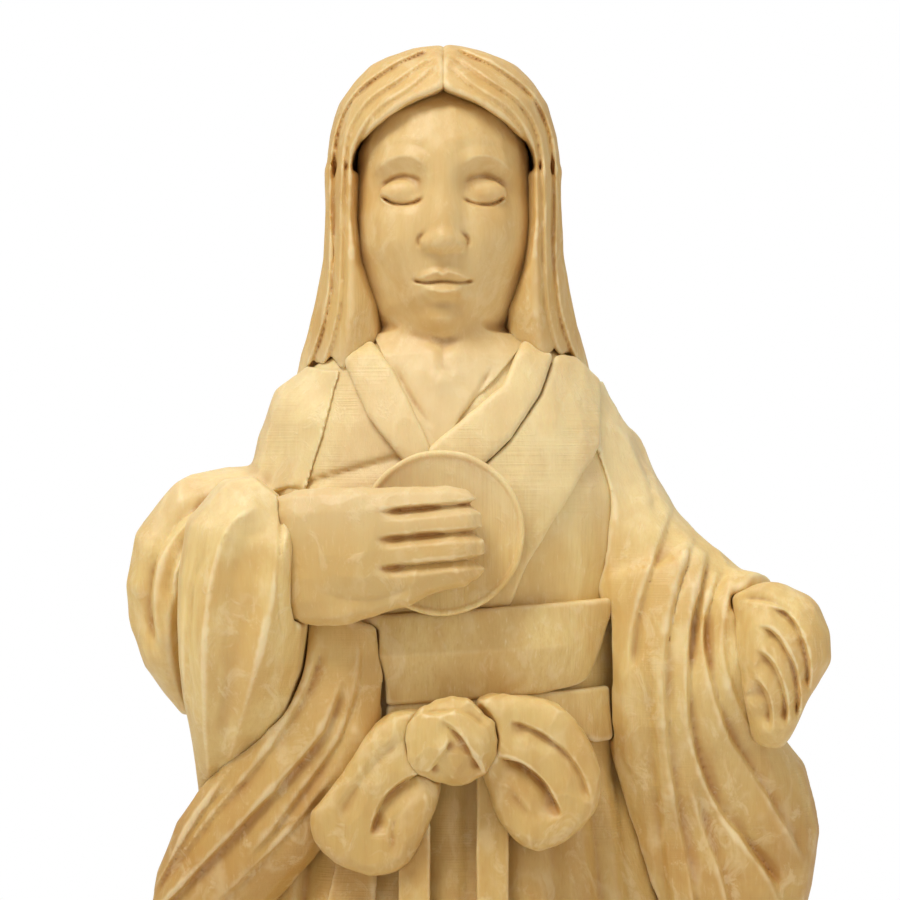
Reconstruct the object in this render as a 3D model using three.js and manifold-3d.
// Standing woman in a crossed robe, one hand holding a round mirror to her chest: a figure built
// up from carved blocks of pale close-grained wood, doweled and glued, that lifts off its plinth.
// Millimetres, +Z up. She faces -Y, so her right side is at -X. The origin is the middle of the
// plinth's underside.
import * as THREE from 'three';
import { LoftGeometry } from 'three/addons/geometries/LoftGeometry.js';
import { mergeVertices } from 'three/addons/utils/BufferGeometryUtils.js';
import Module from 'manifold-3d';

const wasm = await Module();
wasm.setup();

// Clearances.
const fit = 0.3; // glue line between two blocks, and between a dowel and its bore
const seat = 0.3; // between the soles and the plinth
const overcut = 1; // how far a cutter runs past the face it opens

// Plinth.
const plinthWidth = 94;
const plinthDepth = 68;
const plinthHeight = 14;
const plinthCorner = 12;
const plinthChamfer = 1.6;

// Heights up the figure, each measured from the one before it.
const skirtLength = 94.4;
const sashHeight = 7.9;
const obiHeight = 12.9;
const chestLength = 39.3;
const headHeight = 45.5;
const hemLift = 2.2; // the hem stands clear of the plinth

// Robe and trunk.
const hemWidth = 80;
const hemDepth = 50;
const kneeHeight = 38;
const kneeWidth = 75;
const kneeDepth = 46;
const thighHeight = 72;
const thighWidth = 66;
const thighDepth = 41;
const waistWidth = 53;
const waistDepth = 34;
const ribWidth = 52.4;
const ribDepth = 33;
const bustDrop = 22; // the fullest part of the chest below the chin
const bustWidth = 54.6;
const bustDepth = 35;
const shoulderDrop = 3.6;
const shoulderWidth = 43;
const shoulderDepth = 27;
const napeWidth = 23;
const napeDepth = 21;
const trunkJoinY = 1; // plane where the front and back blocks meet

// Bands wrapped on the trunk.
const obiThickness = 2.3;
const sashThickness = 1.6;
const obiTilt = 0.07; // radians, her left end higher
const collarThickness = 1.7;
const lapelThickness = 1;
const overlapThickness = 1.1;

// Head and hair.
const headX = -1;
const headWidth = 34.8;
const headDepth = 37;
const faceWidth = 26.8;
const faceDepth = 31;
const neckDiameter = 19.6;
const neckTenonDiameter = 13;
const neckTenonLength = 12;
const browHeight = 27; // where the crown block meets the side locks, above the chin
const windowHeight = 38.4; // hairline point above the chin
const fallLength = 66; // long hair below the chin
const fallWidth = 44;
const fallThickness = 5.5;

// Mirror and hands.
const mirrorRadius = 12.1;
const mirrorThickness = 2.2;
const mirrorX = -1.2;
const mirrorDrop = 27.5; // centre below the chin
const mirrorRim = 0.5;
const mirrorStandoff = 1.2; // between the chest and the mirror's back
const handLength = 28;
const handHeight = 19;
const handThickness = 6.6;
const fistHeight = 22;
const fistWidth = 14;
const fistDepth = 15;

// Sleeves.
const sleeveSpan = 49; // her right elbow out from the middle
const reach = 49.4; // her left fist out from the middle
const sleeveDepth = 22;
const cuffDepth = 19;
const fallRight = 48; // how far out the right sleeve's lower corner hangs
const fallLeft = 55;

// Bow.
const knotWidth = 13.3;
const knotDepth = 9;
const loopThickness = 6.2;
const tailWidth = 4.3;
const tailLength = 52;
const tailThickness = 1.8;

// Feet, tenons and dowels.
const footWidth = 13;
const footLength = 30;
const footHeight = 8;
const footSpacing = 22;
const tenonDiameter = 6;
const tenonLength = 8;
const trunkDowelDiameter = 5;
const trunkDowelLength = 20;
const limbDowelDiameter = 3.6;
const limbDowelLength = 12;
const pinDiameter = 2.4;
const pinLength = 7;

// Levels that follow from the heights.
const sashZ = plinthHeight + skirtLength;
const obiZ = sashZ + sashHeight;
const ribZ = obiZ + obiHeight;
const chinZ = ribZ + chestLength;
const crownZ = chinZ + headHeight;
const hemZ = plinthHeight + hemLift;
const soleZ = plinthHeight + seat;

const point = (x = 0, y = 0, z = 0) => new THREE.Vector3(x, y, z);
const front = point(0, -1, 0);
const up = point(0, 0, 1);

// ---- solids ----

function solid(geometry) {
  const bare = new THREE.BufferGeometry().copy(geometry);
  bare.deleteAttribute('normal');
  bare.deleteAttribute('uv');
  const merged = mergeVertices(bare, 1e-4);
  return new wasm.Manifold(new wasm.Mesh({
    numProp: 3,
    vertProperties: new Float32Array(merged.attributes.position.array),
    triVerts: new Uint32Array(merged.index.array),
  }));
}

// Oval rings threaded on a spine and skinned. Each station has the ring's centre, its half width
// across the view from the front and its half depth. Growing it makes the cutter for a neighbour.
function carve(stations, { rings = 10, sides = 20, power = 2.3, face = front } = {}) {
  return (grow = 0) => {
    const spine = new THREE.CatmullRomCurve3(stations.map(({ at }) => at));
    const girths = stations.map(({ wide, deep }) => point(wide, deep, 0));
    const girth = new THREE.CatmullRomCurve3(girths, false, 'catmullrom', 0.5);
    const sections = [];
    for (let ring = 0; ring <= rings; ring += 1) {
      const t = ring / rings;
      const along = spine.getTangent(t);
      const side = point().crossVectors(along, face).normalize();
      const across = point().crossVectors(along, side);
      const { x: wide, y: deep } = girth.getPoint(t);
      const centre = spine.getPoint(t);
      if (ring === 0) centre.addScaledVector(along, -grow);
      if (ring === rings) centre.addScaledVector(along, grow);
      const section = [];
      for (let step = 0; step < sides; step += 1) {
        const angle = (step / sides) * Math.PI * 2;
        const cos = Math.cos(angle);
        const sin = Math.sin(angle);
        const oval = (Math.abs(cos) ** power + Math.abs(sin) ** power) ** (-1 / power);
        section.push(centre.clone()
          .addScaledVector(side, cos * oval * (wide + grow))
          .addScaledVector(across, sin * oval * (deep + grow)));
      }
      sections.push(section);
    }
    return solid(new LoftGeometry(sections, { capStart: true, capEnd: true }));
  };
}

function rod(from, to, diameter, sides = 12) {
  const length = from.distanceTo(to);
  const geometry = new THREE.CylinderGeometry(diameter / 2, diameter / 2, length, sides);
  const turn = new THREE.Quaternion().setFromUnitVectors(
    point(0, 1, 0),
    to.clone().sub(from).normalize(),
  );
  geometry.applyQuaternion(turn);
  geometry.translate(...from.clone().add(to).multiplyScalar(0.5).toArray());
  return solid(geometry);
}

function box(low, high) {
  const size = high.clone().sub(low);
  const geometry = new THREE.BoxGeometry(size.x, size.y, size.z);
  geometry.translate(...low.clone().add(high).multiplyScalar(0.5).toArray());
  return solid(geometry);
}

// A flat outline in the front view, given as [x, z], cut through from nearY back to farY.
function plate(shape, nearY, farY, bevel = 0) {
  const geometry = new THREE.ExtrudeGeometry(shape, {
    depth: farY - nearY - 2 * bevel,
    bevelEnabled: bevel > 0,
    bevelSize: bevel,
    bevelThickness: bevel,
    bevelOffset: -bevel,
    bevelSegments: 2,
    curveSegments: 10,
  });
  geometry.rotateX(Math.PI / 2);
  geometry.translate(0, farY - bevel, 0);
  return solid(geometry);
}

function polygon(points) {
  return new THREE.Shape(points.map(([x, z]) => new THREE.Vector2(x, z)));
}

function roundedOutline(points, steps = 22) {
  const curve = new THREE.CatmullRomCurve3(points.map(([x, z]) => point(x, z, 0)), true);
  return new THREE.Shape(curve.getPoints(steps).slice(0, -1).map(({ x, y }) => new THREE.Vector2(x, y)));
}

// What lies in front of, or behind, a plane that faces the viewer.
const span = 400;
const ahead = (y) => box(point(-span, -span, -span), point(span, y, span));
const behind = (y) => box(point(-span, y, -span), point(span, span, span));
const between = (z0, z1) => box(point(-span, -span, z0), point(span, span, z1));
const rightOf = (x) => box(point(-span, -span, -span), point(x, span, span));
const leftOf = (x) => box(point(x, -span, -span), point(span, span, span));

// ---- forms that several blocks are cut from or fitted round ----

const robe = carve([
  { at: point(0, 1, hemZ), wide: hemWidth / 2, deep: hemDepth / 2 },
  { at: point(0, 1, plinthHeight + kneeHeight), wide: kneeWidth / 2, deep: kneeDepth / 2 },
  { at: point(0, 1, plinthHeight + thighHeight), wide: thighWidth / 2, deep: thighDepth / 2 },
  { at: point(0, 1, sashZ), wide: waistWidth / 2, deep: waistDepth / 2 },
  { at: point(0, 1, ribZ), wide: ribWidth / 2, deep: ribDepth / 2 },
  { at: point(0, 1, chinZ - bustDrop), wide: bustWidth / 2, deep: bustDepth / 2 },
  { at: point(0, 2, chinZ - shoulderDrop), wide: shoulderWidth / 2, deep: shoulderDepth / 2 },
  { at: point(0, 3, chinZ + fit), wide: napeWidth / 2, deep: napeDepth / 2 },
], { rings: 14, sides: 32, power: 2.3 });

const robeFrontY = (depth) => 1 - depth / 2;

const neck = carve([
  { at: point(headX, -9.5, chinZ - 17), wide: 2.2, deep: 4 },
  { at: point(headX, -6.5, chinZ - 9), wide: neckDiameter / 2 - 1, deep: 7 },
  { at: point(headX, -2, chinZ - 2), wide: neckDiameter / 2, deep: 9 },
  { at: point(headX, 1, chinZ + 8), wide: neckDiameter / 2 - 0.6, deep: 9 },
  { at: point(headX, 1, chinZ + 18), wide: neckDiameter / 2 - 2, deep: 8 },
], { rings: 7, sides: 18, power: 2 });

const neckTenon = (grow = 0) => rod(
  point(headX, 4, chinZ - shoulderDrop - neckTenonLength - grow),
  point(headX, 4, chinZ + 4),
  neckTenonDiameter + 2 * grow,
  20,
);

const skull = carve([
  { at: point(headX, -7, chinZ), wide: 4.6, deep: 4.5 },
  { at: point(headX, -5, chinZ + 4), wide: faceWidth / 2 - 4, deep: faceDepth / 2 - 6.5 },
  { at: point(headX, -2, chinZ + 13), wide: faceWidth / 2 - 0.6, deep: faceDepth / 2 - 1.6 },
  { at: point(headX, -0.5, chinZ + 24), wide: faceWidth / 2, deep: faceDepth / 2 },
  { at: point(headX, 0.5, chinZ + 34), wide: faceWidth / 2 - 2, deep: faceDepth / 2 - 2 },
  { at: point(headX, 1, headHeight + chinZ - 4.6), wide: 3.5, deep: 4 },
], { rings: 10, sides: 22, power: 2.1 });

const hairDome = carve([
  { at: point(headX, 1, chinZ + browHeight - 18), wide: headWidth / 2 + 0.4, deep: headDepth / 2 - 1 },
  { at: point(headX, 1, chinZ + browHeight), wide: headWidth / 2 + 0.2, deep: headDepth / 2 },
  { at: point(headX, 1, crownZ - 8.6), wide: headWidth / 2 - 1.9, deep: headDepth / 2 - 2.2 },
  { at: point(headX, 1, crownZ - 3), wide: headWidth / 2 - 6.4, deep: headDepth / 2 - 6.6 },
  { at: point(headX, 1, crownZ - 0.9), wide: 6, deep: 7 },
  { at: point(headX, 1, crownZ), wide: 1.6, deep: 2 },
], { rings: 10, sides: 24, power: 2.1 });

// The arched opening in the hair that the face looks out of, pointed at the parting.
function faceWindow() {
  const half = faceWidth / 2;
  const arch = new THREE.Shape();
  arch.moveTo(headX - half, chinZ - span / 4);
  arch.lineTo(headX + half, chinZ - span / 4);
  arch.lineTo(headX + half, chinZ + windowHeight - 10);
  arch.quadraticCurveTo(headX + half * 0.8, chinZ + windowHeight - 4, headX, chinZ + windowHeight);
  arch.quadraticCurveTo(
    headX - half * 0.8, chinZ + windowHeight - 4,
    headX - half, chinZ + windowHeight - 10,
  );
  return plate(arch, -span / 2, -1);
}

const hairFall = carve([
  { at: point(headX, 11, chinZ + browHeight), wide: headWidth / 2 - 2, deep: headDepth / 2 - 10.5 },
  { at: point(headX, 11.5, chinZ + 14), wide: headWidth / 2 + 0.5, deep: headDepth / 2 - 10.5 },
  { at: point(headX, 14, chinZ), wide: fallWidth / 2 - 2, deep: fallThickness },
  { at: point(headX, 17, chinZ - 14), wide: fallWidth / 2, deep: fallThickness },
  { at: point(headX, 18.5, chinZ - 32), wide: fallWidth / 2 - 2, deep: fallThickness },
  { at: point(headX, 19, chinZ - 52), wide: fallWidth / 2 - 6, deep: fallThickness - 1 },
  { at: point(headX, 19.5, chinZ - fallLength), wide: 9, deep: 2 },
], { rings: 11, sides: 20, power: 2.6 });

// The oval that the hair keeps to below the crown, spreading on to the shoulders.
const hairSides = carve([
  { at: point(headX, 1, chinZ + browHeight), wide: headWidth / 2 + 0.2, deep: headDepth / 2 },
  { at: point(headX, 1, chinZ + 14), wide: headWidth / 2 + 0.5, deep: headDepth / 2 },
  { at: point(headX, 2.5, chinZ + 3), wide: headWidth / 2 + 2.9, deep: headDepth / 2 - 1 },
  { at: point(headX, 5, chinZ - 5), wide: headWidth / 2 + 5, deep: headDepth / 2 - 3 },
  { at: point(headX, 7, chinZ - 10), wide: headWidth / 2 + 4.2, deep: headDepth / 2 - 6 },
], { rings: 8, sides: 24, power: 2.2 });

// A lock of hair from the side of the crown to the shoulder. Each ring reaches from just inside
// the cheek out past the oval, which trims it.
function sideLock(sign) {
  const outer = headWidth / 2 + 9;
  const ring = (y, z, insideCheek, deep) => {
    const inner = faceWidth / 2 - insideCheek;
    return { at: point(headX + sign * (outer + inner) / 2, y, chinZ + z), wide: (outer - inner) / 2, deep };
  };
  const strip = carve([
    ring(0, browHeight, 0.5, 14),
    ring(0.5, 14, 0.8, 13.5),
    ring(2, 3, 4.4, 12.5),
    ring(4.5, -5, 3, 11),
    ring(7, -10, -4, 8),
  ], { rings: 7, sides: 16, power: 4 });
  return (grow = 0) => strip(grow).intersect(hairSides(grow));
}

// Bands round the waist, tipped so that her left end is higher.
function wrap(z0, z1, thickness) {
  return (grow = 0) => {
    const height = z1 - z0 + 2 * grow;
    const geometry = new THREE.BoxGeometry(span, span, height);
    geometry.rotateY(-obiTilt);
    geometry.translate(0, 0, (z0 + z1) / 2);
    return robe(thickness + grow).intersect(solid(geometry));
  };
}

const obi = wrap(obiZ + fit / 2, ribZ, obiThickness);
const sash = wrap(sashZ, obiZ - fit / 2, sashThickness);

// Right arm: the upper arm down from the shoulder and a rear lobe out round the elbow, then a
// front lobe from the elbow to the cuff with the sleeve hanging below it.
const rightShoulder = carve([
  { at: point(-13, 3, chinZ - 5.5), wide: 4.5, deep: sleeveDepth / 2 - 3 },
  { at: point(-18.4, 3, chinZ - 11), wide: 8.8, deep: sleeveDepth / 2 - 1 },
  { at: point(-21, 3, chinZ - 20), wide: 9.2, deep: sleeveDepth / 2 },
  { at: point(-23, 3, chinZ - 29), wide: 8.6, deep: sleeveDepth / 2 },
], { rings: 6, sides: 18 });
const elbow = carve([
  { at: point(-20, 2, chinZ - 27.6), wide: 7.2, deep: sleeveDepth / 2 - 1 },
  { at: point(18.6 - sleeveSpan, 1.4, chinZ - 27.6), wide: 9.4, deep: sleeveDepth / 2 },
  { at: point(11.4 - sleeveSpan, 1.4, chinZ - 31.4), wide: 10.7, deep: sleeveDepth / 2 },
  { at: point(8.2 - sleeveSpan, 2, chinZ - 39.4), wide: 8.3, deep: sleeveDepth / 2 },
  { at: point(8 - sleeveSpan, 3, chinZ - 48.4), wide: 4.8, deep: sleeveDepth / 2 - 3 },
  { at: point(9.6 - sleeveSpan, 3, chinZ - 55.6), wide: 1.4, deep: 3 },
], { rings: 9, sides: 18 });
const rightRear = (grow = 0) => rightShoulder(grow).add(elbow(grow));

const rightFront = carve([
  { at: point(-25, -17.6, chinZ - 22.4), wide: 5, deep: cuffDepth / 2 - 3.3 },
  { at: point(-28.9, -17.8, chinZ - 27.4), wide: 9.2, deep: cuffDepth / 2 - 0.3 },
  { at: point(-30.2, -17.4, chinZ - 38), wide: 9.6, deep: cuffDepth / 2 },
  { at: point(-30.8, -15.6, chinZ - 49), wide: 8.8, deep: cuffDepth / 2 - 1 },
  { at: point(-32.8, -13.4, chinZ - 58.6), wide: 5.6, deep: cuffDepth / 2 - 3.6 },
  { at: point(-36.4, -11.6, chinZ - 67.2), wide: 0.9, deep: 1.6 },
], { rings: 9, sides: 20, power: 3.1 });

// The sleeve's lower corner, thrown back and down past the skirt.
const rightFall = carve([
  { at: point(-15.5, -13, chinZ - 40.5), wide: 6, deep: 6.5 },
  { at: point(-18, -13.5, chinZ - 53), wide: 9.6, deep: 8 },
  { at: point(-26, -14, chinZ - 67), wide: 10.2, deep: 8.5 },
  { at: point(-35, -12, chinZ - 79), wide: 8.8, deep: 8 },
  { at: point(7 - fallRight, -11, chinZ - 87.5), wide: 4.6, deep: 4.5 },
  { at: point(3 - fallRight, -10.5, chinZ - 91), wide: 1.2, deep: 1.4 },
], { rings: 9, sides: 18, power: 2.5 });

// Left arm: shoulder to wrist, then the long hanging sleeve.
const leftUpper = carve([
  { at: point(14, 3, chinZ - 10.5), wide: 7.4, deep: sleeveDepth / 2 - 1 },
  { at: point(20, 3, chinZ - 17), wide: 8.7, deep: sleeveDepth / 2 },
  { at: point(25.6, 2, chinZ - 26.4), wide: 8.3, deep: sleeveDepth / 2 },
  { at: point(31.8, -1.5, chinZ - 35.8), wide: 9.4, deep: sleeveDepth / 2 },
  { at: point(39, -5.5, chinZ - 41.6), wide: 9.4, deep: sleeveDepth / 2 - 1.6 },
  { at: point(reach - 4.4, -9, chinZ - 42.6), wide: 8.8, deep: sleeveDepth / 2 - 3 },
], { rings: 9, sides: 18 });

const leftFall = carve([
  { at: point(31, -3.4, chinZ - 34), wide: 8.6, deep: sleeveDepth / 2 - 1 },
  { at: point(34.6, -5, chinZ - 45), wide: 11.6, deep: sleeveDepth / 2 },
  { at: point(35.4, -4, chinZ - 53), wide: 12.5, deep: sleeveDepth / 2 + 0.5 },
  { at: point(35.8, -2, chinZ - 60), wide: 12.8, deep: sleeveDepth / 2 + 1 },
  { at: point(fallLeft - 15.4, 0, chinZ - 70), wide: 15.4, deep: sleeveDepth / 2 + 0.5 },
  { at: point(fallLeft - 14.6, 0, chinZ - 80), wide: 14.4, deep: sleeveDepth / 2 + 0.5 },
  { at: point(fallLeft - 15.5, 0, chinZ - 93), wide: 10.5, deep: sleeveDepth / 2 - 1 },
  { at: point(fallLeft - 17, 0, chinZ - 101), wide: 4, deep: 4 },
], { rings: 11, sides: 22, power: 2.4 });

// Mirror against the chest and the hand across it.
const mirrorZ = chinZ - mirrorDrop;
const mirrorBackY = robeFrontY(bustDepth) - collarThickness - mirrorStandoff;
const mirrorFrontY = mirrorBackY - mirrorThickness;
const disc = (grow = 0) => rod(
  point(mirrorX, mirrorFrontY - grow, mirrorZ),
  point(mirrorX, mirrorBackY + grow, mirrorZ),
  2 * (mirrorRadius + grow),
  36,
);

const handY = mirrorFrontY - fit - handThickness / 2;
const wristX = mirrorX + 6 - handLength;
const palm = handHeight / 2;
const palmDepth = handThickness / 2;
const rightHand = carve([
  { at: point(wristX - 3, handY + 7, chinZ - 31.4), wide: palm - 1.4, deep: palmDepth },
  { at: point(wristX + 2, handY + 3.2, chinZ - 31), wide: palm + 0.2, deep: palmDepth + 0.8 },
  { at: point(wristX + 11, handY, chinZ - 30.3), wide: palm, deep: palmDepth },
  { at: point(wristX + 19, handY, chinZ - 28.6), wide: palm - 1.6, deep: palmDepth },
  { at: point(wristX + handLength - 1.6, handY, chinZ - 27.9), wide: palm - 2.8, deep: palmDepth - 0.3 },
  { at: point(wristX + handLength, handY + 0.3, chinZ - 27.8), wide: palm - 4.2, deep: palmDepth - 1.4 },
], { rings: 10, sides: 20, power: 3 });

const fistZ = chinZ - 47.5;
const fist = carve([
  { at: point(reach - 3.4, -12.4, fistZ + 12), wide: fistWidth / 2 - 2.6, deep: fistDepth / 2 - 2.6 },
  { at: point(reach - 1, -13, fistZ + 7), wide: fistWidth / 2 - 0.7, deep: fistDepth / 2 - 0.4 },
  { at: point(reach, -13.4, fistZ + 0.8), wide: fistWidth / 2 - 0.1, deep: fistDepth / 2 },
  { at: point(reach - 1.1, -13.4, fistZ - 5), wide: fistWidth / 2 - 2.2, deep: fistDepth / 2 - 1.2 },
  { at: point(reach - 2.3, -13, fistZ + 10.6 - fistHeight), wide: 1.9, deep: 3 },
], { rings: 8, sides: 18, power: 2.5 });

// Bow on the sash.
const bowZ = sashZ + 2.6;
const bowBackY = robeFrontY(waistDepth) - sashThickness - fit;
const knotY = bowBackY - knotDepth / 2 - 1.4;
function knot(grow = 0) {
  const geometry = new THREE.SphereGeometry(1, 16, 10);
  geometry.scale(knotWidth / 2 + grow, knotDepth / 2 + grow, knotWidth / 2 + grow);
  geometry.translate(0.3, knotY, bowZ);
  return solid(geometry);
}

const loopOutlines = {
  right: [[-3.5, 3.4], [-9.4, 3.2], [-15.4, -4.6], [-20.2, -11.6], [-19, -16], [-10.8, -20], [-6.4, -18.4],
    [-3.6, -13.6], [-1.4, -7]],
  left: [[4, 5.6], [9, 6.2], [15.6, 4.8], [20.2, -0.4], [22, -6.6], [20.6, -11.4], [13.8, -16.2], [9, -14.4],
    [5.6, -7.4]],
};

function loop(side) {
  return (grow = 0) => {
    const outline = loopOutlines[side].map(([x, z]) => [x, bowZ + z]);
    return plate(
      roundedOutline(outline),
      bowBackY - loopThickness - grow,
      bowBackY + 2 + grow,
      1.8,
    );
  };
}

const tailX = { right: -5.2, left: 6.2 };
function tail(side) {
  return (grow = 0) => {
    const half = tailWidth / 2 + grow;
    const x = tailX[side];
    const shape = polygon([
      [x - half, bowZ - tailLength - grow],
      [x + half, bowZ - tailLength + 1.6 - grow],
      [x + half, bowZ - 2 + grow],
      [x - half, bowZ - 2 + grow],
    ]);
    const strip = plate(shape, -span / 4, robeFrontY(waistDepth) + 6);
    return strip.intersect(robe(overlapThickness + fit + tailThickness + grow));
  };
}

// Feet under the hem, each with a round tenon for the plinth.
const toeY = robeFrontY(hemDepth) - 3.4;
function foot(sign) {
  const x = sign * footSpacing / 2;
  const ankle = soleZ + footHeight / 2;
  const whole = carve([
    { at: point(x, toeY + footLength, ankle), wide: footWidth / 2 - 2, deep: footHeight / 2 + 1 },
    { at: point(x, toeY + footLength - 6, ankle), wide: footWidth / 2 - 1, deep: footHeight / 2 + 1 },
    { at: point(x + sign * 0.8, toeY + 8, ankle - 1), wide: footWidth / 2, deep: footHeight / 2 + 0.6 },
    { at: point(x + sign * 1, toeY, soleZ + 1.4), wide: footWidth / 2 - 2, deep: 2.4 },
  ], { rings: 6, sides: 18, power: 2.6, face: up });
  return (grow = 0) => whole(grow).intersect(between(soleZ - grow, soleZ + span));
}

const tenonY = toeY + footLength / 2;
const tenonAt = (sign) => sign * footSpacing / 2;
const tenon = (sign) => rod(
  point(tenonAt(sign), tenonY, plinthHeight - tenonLength),
  point(tenonAt(sign), tenonY, soleZ + 2),
  tenonDiameter,
  20,
);
const mortise = (sign) => rod(
  point(tenonAt(sign), tenonY, plinthHeight - tenonLength - overcut),
  point(tenonAt(sign), tenonY, plinthHeight + overcut),
  tenonDiameter + 2 * fit,
  20,
);

// Dowels. Each is a rod across a joint, and its bore is the same rod with clearance.
function dowel(middle, direction, diameter, length) {
  const reachOut = direction.clone().normalize();
  return (grow = 0) => rod(
    middle.clone().addScaledVector(reachOut, -length / 2 - grow),
    middle.clone().addScaledVector(reachOut, length / 2 + grow),
    diameter + 2 * grow,
  );
}

const across = point(1, 0, 0);
const trunkDowels = {
  upper: dowel(point(0, trunkJoinY, chinZ - bustDrop - 8), front, trunkDowelDiameter, trunkDowelLength),
  lower: dowel(point(0, trunkJoinY, plinthHeight + kneeHeight), front, trunkDowelDiameter, trunkDowelLength),
};
const shoulderDowels = {
  right: dowel(point(-21, 5, chinZ - 15), across, limbDowelDiameter, limbDowelLength),
  left: dowel(point(21, 5, chinZ - 17), across, limbDowelDiameter, limbDowelLength),
};
const fallDowels = {
  right: dowel(point(-25, -10, chinZ - 66), point(1, 0.9, 0), limbDowelDiameter, limbDowelLength),
  left: dowel(point(27.8, 3, chinZ - 64), across, limbDowelDiameter, limbDowelLength),
};
const wristDowels = {
  right: dowel(point(wristX - 2.6, handY + 4.2, chinZ - 31), point(1, -0.4, 0), pinDiameter, pinLength),
  left: dowel(point(reach - 5, -10, fistZ + 7.6), point(1, -0.6, -0.5), pinDiameter, pinLength),
};
const bowDowel = dowel(point(0.3, bowBackY + 1.2, bowZ), front, pinDiameter, pinLength);
const mirrorDowel = dowel(point(mirrorX, mirrorBackY + 2.2, mirrorZ), front, pinDiameter, pinLength);

// ---- the pieces ----

const woods = {
  figure: { color: 0xdeba7d, roughness: 0.5, metalness: 0 },
  plinth: { color: 0xc79a5e, roughness: 0.45, metalness: 0 },
  dowel: { color: 0xd3ad72, roughness: 0.6, metalness: 0 },
};

const statue = new THREE.Group();

// A cut can shave off a loose chip; the block is what is left when the chips are swept away.
function block(name, wood, whole) {
  const bodies = whole.decompose().sort((a, b) => b.volume() - a.volume());
  const { vertProperties, triVerts } = bodies[0].getMesh();
  const geometry = new THREE.BufferGeometry();
  geometry.setAttribute('position', new THREE.BufferAttribute(new Float32Array(vertProperties), 3));
  geometry.setIndex(new THREE.BufferAttribute(new Uint32Array(triVerts), 1));
  geometry.computeVertexNormals();
  const mesh = new THREE.Mesh(geometry, new THREE.MeshStandardMaterial(woods[wood]));
  mesh.name = name;
  statue.add(mesh);
}

const minus = (whole, ...cutters) => cutters.reduce((left, cutter) => left.subtract(cutter), whole);
const sides = { right: -1, left: 1 };
const robeClear = robe(fit);
const neckClear = neck(fit).add(neckTenon(fit));
const feetClear = foot(-1)(fit).add(foot(1)(fit));
const hairClear = hairFall(fit);

// Plinth: a rounded slab with chamfered edges and two mortises.
function plinth() {
  const x = plinthWidth / 2;
  const y = plinthDepth / 2;
  const r = plinthCorner;
  const outline = new THREE.Shape();
  outline.moveTo(-x + r, -y);
  outline.lineTo(x - r, -y);
  outline.absarc(x - r, -y + r, r, -Math.PI / 2, 0);
  outline.lineTo(x, y - r);
  outline.absarc(x - r, y - r, r, 0, Math.PI / 2);
  outline.lineTo(-x + r, y);
  outline.absarc(-x + r, y - r, r, Math.PI / 2, Math.PI);
  outline.lineTo(-x, -y + r);
  outline.absarc(-x + r, -y + r, r, Math.PI, 1.5 * Math.PI);
  const slab = new THREE.ExtrudeGeometry(outline, {
    depth: plinthHeight - 2 * plinthChamfer,
    bevelSize: plinthChamfer,
    bevelThickness: plinthChamfer,
    bevelOffset: -plinthChamfer,
    bevelSegments: 1,
    curveSegments: 6,
  });
  slab.translate(0, 0, plinthChamfer);
  return minus(solid(slab), mortise(-1), mortise(1));
}
block('plinth', 'plinth', plinth());

// Trunk: front and back blocks, bored for their dowels.
const trunkBores = [
  trunkDowels.upper(fit), trunkDowels.lower(fit), shoulderDowels.right(fit), shoulderDowels.left(fit),
  fallDowels.right(fit), fallDowels.left(fit), bowDowel(fit), mirrorDowel(fit),
];
const trunk = minus(robe(), neckClear, feetClear, ...trunkBores);
block('trunk_front', 'figure', trunk.intersect(ahead(trunkJoinY - fit / 2)));
block('trunk_back', 'figure', trunk.intersect(behind(trunkJoinY + fit / 2)));

// Skirt overlap: the robe's outer front panel, laid left over right down to the hem.
const overlapPanel = (grow = 0) => plate(
  polygon([
    [-21 - grow, hemZ + 1 - grow],
    [27 + grow, hemZ + 1 - grow],
    [24 + grow, plinthHeight + thighHeight],
    [21.5 + grow, sashZ - 3 + grow],
    [-14 - grow, sashZ - 4 + grow],
    [-18 - grow, plinthHeight + thighHeight],
  ]),
  -span / 4,
  -6 + grow,
).intersect(robe(overlapThickness + grow));
const overlapClear = overlapPanel(fit);
block('skirt_overlap', 'figure', minus(
  overlapPanel(),
  robeClear,
  sash(fit),
  rightFall(fit),
  leftFall(fit),
  feetClear,
  bowDowel(fit),
  fallDowels.right(fit),
  fallDowels.left(fit),
));

// Obi and sash: front and back halves of two wrapped bands.
const bandCuts = [
  robeClear, rightRear(fit), rightFront(fit), rightFall(fit), leftUpper(fit), leftFall(fit),
  bowDowel(fit), mirrorDowel(fit), fallDowels.right(fit), fallDowels.left(fit),
];
for (const [name, band] of [['obi', obi], ['sash', sash]]) {
  const ring = minus(band(), ...bandCuts);
  block(`${name}_front`, 'figure', ring.intersect(ahead(trunkJoinY - fit / 2)));
  block(`${name}_back`, 'figure', ring.intersect(behind(trunkJoinY + fit / 2)));
}

// Collars and the broad left lapel, each a thin panel fitted to the chest.
const vFoot = [-3, chinZ - 15.2];
const collarShapes = {
  right: polygon([[-12.6, chinZ + 2], [-8.4, chinZ - 4], vFoot, [-4.4, chinZ - 19.6], [-12, chinZ - 10.4],
    [-17, chinZ + 1]]),
  left: polygon([[11.4, chinZ + 2], [8, chinZ - 6], vFoot, [-4.4, chinZ - 19.6], [2, chinZ - 20],
    [8.6, chinZ - 13.8], [13.2, chinZ - 7], [16, chinZ + 1]]),
};
const lapelShape = polygon([
  [16.4, chinZ + 1], [22.4, chinZ - 5], [22.3, chinZ - 14.5], [16.7, chinZ - 23.5], [11.4, chinZ - 31.8],
  [7.6, ribZ - 2], [-12, ribZ - 3], [-9, chinZ - 30], [-3, chinZ - 20.6], [2.4, chinZ - 20.4],
  [8.9, chinZ - 14.2], [13.6, chinZ - 7.2],
]);
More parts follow.
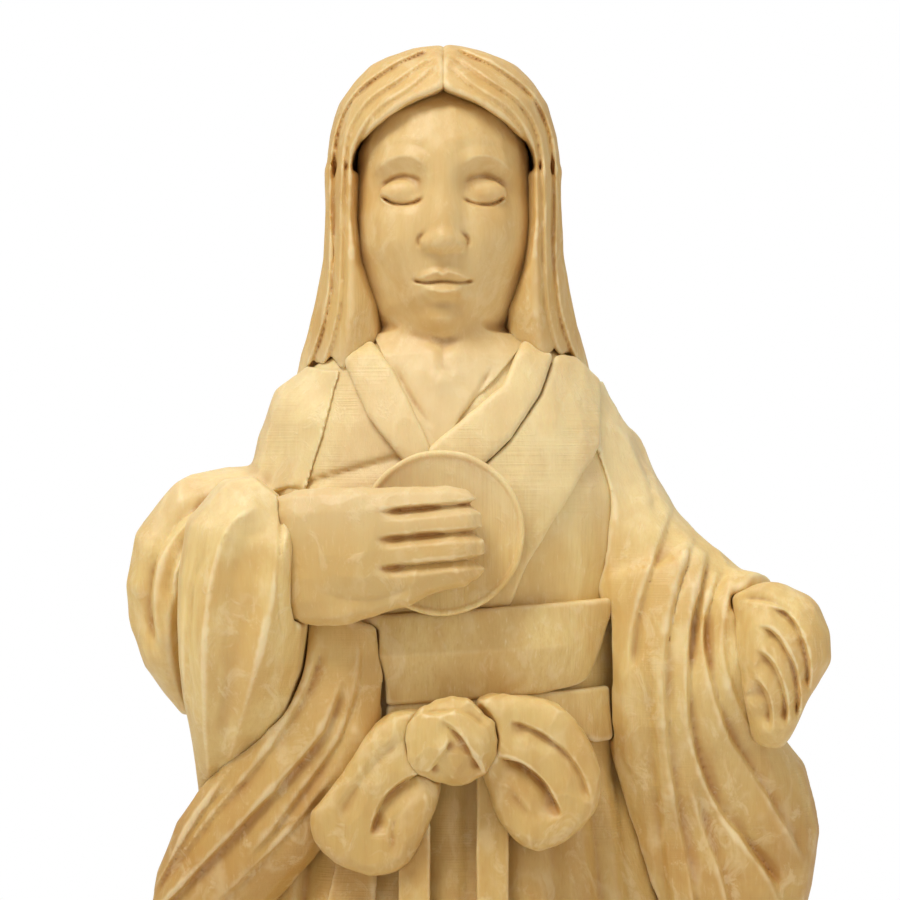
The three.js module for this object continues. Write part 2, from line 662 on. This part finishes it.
const chestCuts = [
  robeClear, neckClear, rightRear(fit), leftUpper(fit), obi(fit), mirrorDowel(fit),
  sideLock(-1)(fit), sideLock(1)(fit), disc(fit),
];
for (const [side, shape] of Object.entries(collarShapes)) {
  const panel = plate(shape, -span / 4, 0).intersect(robe(collarThickness));
  block(`collar_${side}`, 'figure', minus(panel, ...chestCuts));
}
const collarClear = plate(collarShapes.left, -span / 4, 0).add(plate(collarShapes.right, -span / 4, 0));
const lapelPanel = plate(lapelShape, -span / 4, 0).intersect(robe(lapelThickness));
block('lapel_left', 'figure', minus(lapelPanel, ...chestCuts, collarClear));

// Head: face and neck in one block, with the tenon that drops into the trunk.
block('face_and_neck', 'figure', skull().add(neck()).add(neckTenon()));

// Hair: crown halves meeting at the parting, side locks and the long fall down the back.
const browZ = chinZ + browHeight;
const cap = minus(hairDome(), skull(fit), neckClear, faceWindow());
for (const [side, sign] of Object.entries(sides)) {
  const half = sign < 0 ? rightOf(headX - fit / 2) : leftOf(headX + fit / 2);
  const crown = cap.intersect(between(browZ, crownZ + overcut)).intersect(half);
  block(`hair_crown_${side}`, 'figure', minus(crown, hairClear));
  const lock = sideLock(sign)().intersect(between(hemZ, browZ - fit));
  block(`hair_lock_${side}`, 'figure', minus(lock, skull(fit), neckClear, robeClear, hairClear));
}
block('hair_fall', 'figure', minus(
  hairFall(),
  skull(fit),
  neckClear,
  robeClear,
  obi(fit),
  sash(fit),
));

// Right arm.
const trunkClear = [robeClear, obi(fit), sash(fit), overlapClear];
block('sleeve_right_upper', 'figure', minus(
  rightRear(),
  ...trunkClear,
  hairClear,
  sideLock(-1)(fit),
  rightFront(fit),
  shoulderDowels.right(fit),
));
block('sleeve_right_cuff', 'figure', minus(
  rightFront(),
  ...trunkClear,
  rightHand(fit),
  wristDowels.right(fit),
));
block('sleeve_right_fall', 'figure', minus(
  rightFall(),
  ...trunkClear,
  rightFront(fit),
  rightRear(fit),
  rightHand(fit),
  fallDowels.right(fit),
));
block('hand_right', 'figure', minus(
  rightHand(),
  ...trunkClear,
  disc(fit),
  wristDowels.right(fit),
));

// Mirror: a thin disc with a narrow raised rim.
const rimInner = rod(
  point(mirrorX, mirrorFrontY - overcut, mirrorZ),
  point(mirrorX, mirrorFrontY + mirrorRim, mirrorZ),
  2 * (mirrorRadius - 1.1),
  36,
);
block('mirror', 'figure', minus(disc(), mirrorDowel(fit), obi(fit), rimInner));

// Left arm.
block('sleeve_left_upper', 'figure', minus(
  leftUpper(),
  ...trunkClear,
  hairClear,
  sideLock(1)(fit),
  fist(fit),
  shoulderDowels.left(fit),
  wristDowels.left(fit),
));
block('sleeve_left_fall', 'figure', minus(
  leftFall(),
  ...trunkClear,
  leftUpper(fit),
  fist(fit),
  fallDowels.left(fit),
));
block('hand_left', 'figure', minus(fist(), wristDowels.left(fit)));

// Bow: knot, two loops and two hanging tails.
block('bow_knot', 'figure', minus(knot(), ...trunkClear, bowDowel(fit)));
for (const side of Object.keys(sides)) {
  block(`bow_loop_${side}`, 'figure', minus(
    loop(side)(),
    ...trunkClear,
    knot(fit),
    rightFall(fit),
    leftFall(fit),
  ));
  block(`bow_tail_${side}`, 'figure', minus(
    tail(side)(),
    ...trunkClear,
    knot(fit),
    loop('right')(fit),
    loop('left')(fit),
  ));
}

// Feet.
for (const [side, sign] of Object.entries(sides)) {
  block(`foot_${side}`, 'figure', foot(sign)().add(tenon(sign)));
}

// Dowels.
const dowels = {
  dowel_trunk_upper: trunkDowels.upper,
  dowel_trunk_lower: trunkDowels.lower,
  dowel_shoulder_right: shoulderDowels.right,
  dowel_shoulder_left: shoulderDowels.left,
  dowel_fall_right: fallDowels.right,
  dowel_fall_left: fallDowels.left,
  dowel_wrist_right: wristDowels.right,
  dowel_wrist_left: wristDowels.left,
  dowel_bow: bowDowel,
  dowel_mirror: mirrorDowel,
};
for (const [name, shape] of Object.entries(dowels)) {
  block(name, 'dowel', shape());
}

export default statue;
